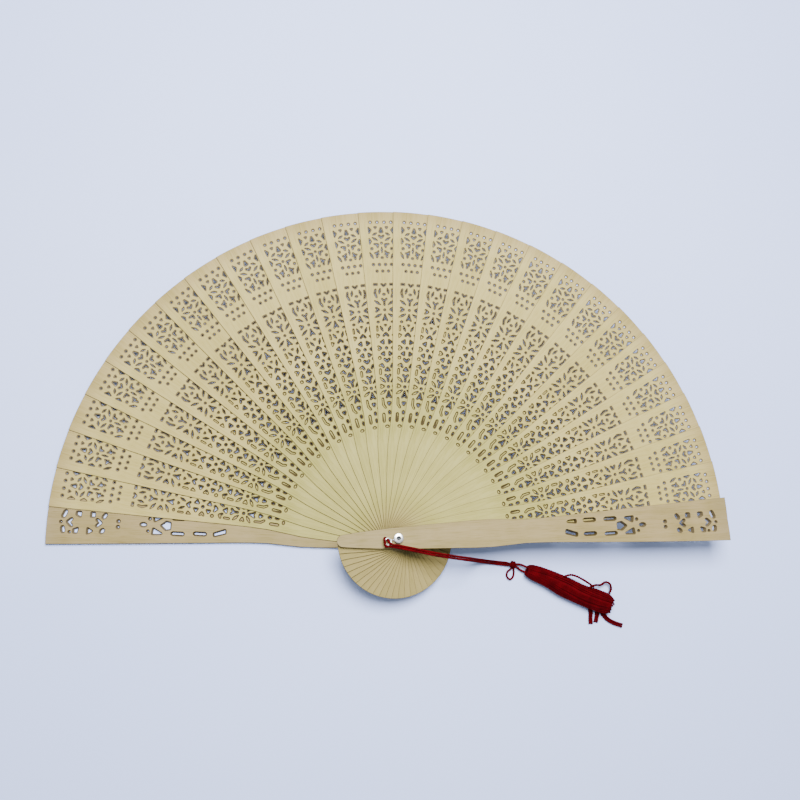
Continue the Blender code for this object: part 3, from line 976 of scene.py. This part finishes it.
def wood(name, band, handle, tail, tip):
    """Close-grained pale wood along the stick, with beam scorch and painted shade on its cut walls
    and edges.

    Its colour shifts from the tail past the handle and the pierced band to the tip.
    """
    material, shader, start = finish(name, Specular_IOR_Level=0.2)
    place = start.node("ShaderNodeUVMap", {"uv_map": "grain"}, {})
    scale = (1.0, GRAIN_STRETCH, 1.0)
    stretch = place.node("ShaderNodeMapping", {}, {"Vector": place, "Scale": scale})
    along = place.node("ShaderNodeSeparateXYZ", {}, {"Vector": place})
    fibres = noise(stretch, 85.0, 3.0)
    streaks = noise(stretch, 14.0, 2.0)
    patches = noise(place, 60.0, 3.0)
    pores = noise(stretch, 190.0, 1.0)
    tone = start.node("ShaderNodeAttribute", {"attribute_name": "tone"}, {}, "Fac")
    scorch_and_painted_shade = start.node("ShaderNodeAttribute", {"attribute_name": "scorch_and_painted_shade"}, {}, "Fac")
    colour = mix(along.between(0.004, 0.022), tail, handle)
    colour = mix(along.between(0.055, 0.11), colour, band)
    colour = mix(along.between(0.155, 0.172), colour, tip)
    shade = streaks.between(0.3, 0.75) * 0.5 + patches.between(0.35, 0.7) * 0.5 + tone * 0.4
    lines = fibres.between(0.45, 0.75) * 0.18 + pores.between(0.58, 0.78) * 0.22
    light = 1.12 - shade * 0.22 - lines
    channels = {"Red": light, "Green": light, "Blue": light * light}
    tint = start.node("ShaderNodeCombineColor", {}, channels)
    multiply = {"data_type": "RGBA", "blend_type": "MULTIPLY"}
    colour = start.node("ShaderNodeMix", multiply, {0: 1.0, 6: colour, 7: tint}, 2)
    # Painted shade: walls darker nearer the rivet, where the stacked leaves shade the lower panels
    wall_scorch_and_painted_shade = mix(along.between(0.1, 0.135), INNER_SCORCH_AND_PAINTED_SHADE, OUTER_SCORCH_AND_PAINTED_SHADE)
    colour = mix(scorch_and_painted_shade, colour, wall_scorch_and_painted_shade)
    feed(shader, "Base Color", colour)
    feed(shader, "Roughness", 0.55 + fibres * 0.18)
    feed(shader, "Normal", bump(fibres + pores * 0.5, 0.22, 0.05 * MM))
    return material


leaf_wood = wood(
    "leaf_wood",
    band=(0.385, 0.312, 0.104, 1.0),
    handle=(0.325, 0.291, 0.086, 1.0),
    tail=(0.25, 0.198, 0.068, 1.0),
    tip=(0.31, 0.235, 0.092, 1.0),
)
leaf_low, leaf_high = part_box("leaf_01")
leaf_thickness = leaf_high[2] - leaf_low[2]
leaf_fretwork = []
for outline in TOP_PANEL + DOT_ROWS + FLOWER_PANEL:
    leaf_fretwork.append(narrowed(outline, -UPPER_WIDENING))
for outline in CROSS_PANEL + LOWER_PANEL:
    leaf_fretwork.append(narrowed(outline, -LOWER_WIDENING))
leaf_mesh = pierced_stick("leaf_01", leaf_fretwork, leaf_thickness, LEAF_EDGE, LEAF_TAPER)


def slip_of(index):
    """How far a leaf has slipped from even spacing, read between the noted leaves."""
    for (low, first), (high, second) in zip(LEAF_SLIPS, LEAF_SLIPS[1:]):
        if low <= index <= high:
            return radians(first + (second - first) * (index - low) / (high - low))


def lay_stick(name, mesh, node, index, slip, material):
    """Turn a stick to its bearing at its height, with its own grain and tone."""
    low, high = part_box(node)
    tone = mesh.attributes.new("tone", "FLOAT", "POINT")
    tone.data.foreach_set("value", [draw.random()] * len(mesh.vertices))
    for loop in mesh.uv_layers["grain"].uv:
        loop.vector.y += GRAIN_SHIFT * index
    turn = Matrix.Rotation(bearing_of(node) + slip, 4, "Z")
    mesh.transform(Matrix.Translation((0, 0, low[2])) @ turn)
    stick = place_in_scene(name, mesh, material)
    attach(stick, node)
    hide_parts(node)


for index in range(1, LEAF_COUNT + 1):
    lay_stick(
        f"pierced_leaf_{index:02d}",
        leaf_mesh.copy(),
        f"leaf_{index:02d}",
        index,
        slip_of(index),
        leaf_wood,
    )
bpy.data.meshes.remove(leaf_mesh)


# --- Guards ------------------------------------------------------------------
# The two outer sticks, four times as thick as a leaf, cut with a plainer pattern
# near the tip and the middle only. The rear one has a recess in its underside for
# the rivet's flat head, and the front one is trimmed at its tip.
GUARD_EDGE = 0.12 * MM
GUARD_LENGTH = 170 * MM
GUARD_STRETCH = 0.008
GUARD_NARROWING = 0.12
GUARD_SLANT = 0.09
RECESS_RADIUS = 2.8 * MM
RECESS_DEPTH = 0.9 * MM
RECESS_STEPS = 64

# Holes as (distance across towards the leaves, distance from the rivet), in
# millimetres, and what they lose or gain as the leaves' holes do
GUARD_TAPER = 0.85
GUARD_WIDENING = 0.24
GUARD_FRETWORK = [
    plate([(2.7, 89.8), (3.4, 84.0), (4.2, 86.6), (4.4, 89.8)], 0.3),
    plate([(-4.1, 89.9), (-2.4, 84.1), (-0.2, 84.3), (-2.4, 90.2)], 0.4),
    slot((3.9, 93.5), (3.9, 99.9), 1.6),
    slot((-3.1, 93.5), (-3.1, 99.9), 1.6),
    slot((3.9, 104.3), (3.9, 110.7), 1.6),
    slot((-3.6, 104.3), (-3.6, 110.7), 1.6),
    plate([(-1.7, 111.1), (1.7, 111.1), (2.2, 113.4), (0, 116.1), (-2.2, 113.4)], 0.35),
    plate([(4.3, 114.2), (4.7, 119.8), (1.6, 119.2)], 0.35),
    plate([(-4.2, 114.2), (-1.2, 119.6), (-4.6, 120.0)], 0.35),
    dot((3.0, 121.4), 1.2),
    dot((-3.0, 121.9), 1.0),
    dot((0, 124.3), 2.0, 3.3),
    dot((1.0, 136.3), 1.5),
    dot((-1.8, 136.3), 1.5),
    slot((4.5, 142.2), (1.8, 143.9), 1.7),
    plate([(2.3, 147.6), (4.7, 147.6), (4.7, 149.7), (2.3, 149.7)], 0.35),
    plate([(1.9, 154.3), (4.8, 154.0), (4.8, 156.5), (3.1, 156.6)], 0.35),
    slot((5.3, 161.2), (1.4, 162.8), 1.7),
    slot((-3.0, 142.8), (-5.3, 144.5), 1.9),
    plate([(-6.1, 150.8), (-4.45, 147.9), (-2.7, 150.8)], 0.25),
    plate([(-5.8, 155.5), (-2.8, 154.8), (-3.9, 157.4), (-5.8, 157.2)], 0.3),
    slot((-2.5, 162.5), (-5.9, 161.9), 1.7),
    star((-0.3, 144.7), [(1.2, 146.4), (-1.8, 146.4)], 1.35, 1.2),
    star((-0.5, 160.1), [(1.0, 158.5), (-2.2, 158.4)], 1.35, 1.2),
    dot((-0.6, 163.4), 1.1),
    dot((-5.3, 159.0), 1.0),
]
guard_wood = wood(
    "guard_wood",
    band=(0.268, 0.202, 0.088, 1.0),
    handle=(0.272, 0.209, 0.094, 1.0),
    tail=(0.268, 0.209, 0.097, 1.0),
    tip=(0.245, 0.187, 0.09, 1.0),
)


def recessed(mesh):
    """The stick with a round recess cut round its rivet hole from below."""
    bm = bmesh.new()
    bmesh.ops.create_cone(
        bm,
        cap_ends=True,
        segments=RECESS_STEPS,
        radius1=RECESS_RADIUS,
        radius2=RECESS_RADIUS,
        depth=2 * RECESS_DEPTH,
    )
    cutter = bpy.data.objects.new("recess", bpy.data.meshes.new("recess"))
    bm.to_mesh(cutter.data)
    bm.free()
    collection.objects.link(cutter)
    holder = bpy.data.objects.new("recess_holder", mesh)
    cut = holder.modifiers.new("recess", "BOOLEAN")
    cut.operation = "DIFFERENCE"
    cut.solver = "EXACT"
    cut.object = cutter
    result = baked(holder)
    bpy.data.objects.remove(cutter, do_unlink=True)
    return result


def trimmed(mesh):
    """The stick a little longer, narrower on its outer side and slanted at its tip."""
    for vert in mesh.vertices:
        along = max(vert.co.x, 0)
        vert.co.x += GUARD_STRETCH * along
        if vert.co.y < 0:
            vert.co.y *= 1 - GUARD_NARROWING * (along / GUARD_LENGTH) ** 2
            vert.co.x -= GUARD_SLANT * vert.co.y * (along / GUARD_LENGTH) ** 8
    return mesh


guards = (("rear_guard", -1, recessed), ("front_guard", 1, trimmed))
for index, (node, side, shaped) in enumerate(guards, LEAF_COUNT + 1):
    fretwork = []
    for outline in GUARD_FRETWORK:
        outline = narrowed(outline, -GUARD_WIDENING)
        fretwork.append([(side * across, reach) for across, reach in outline])
    low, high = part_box(node)
    mesh = shaped(pierced_stick(node, fretwork, high[2] - low[2], GUARD_EDGE, GUARD_TAPER))
    lay_stick(f"pierced_{node}", mesh, node, index, 0.0, guard_wood)
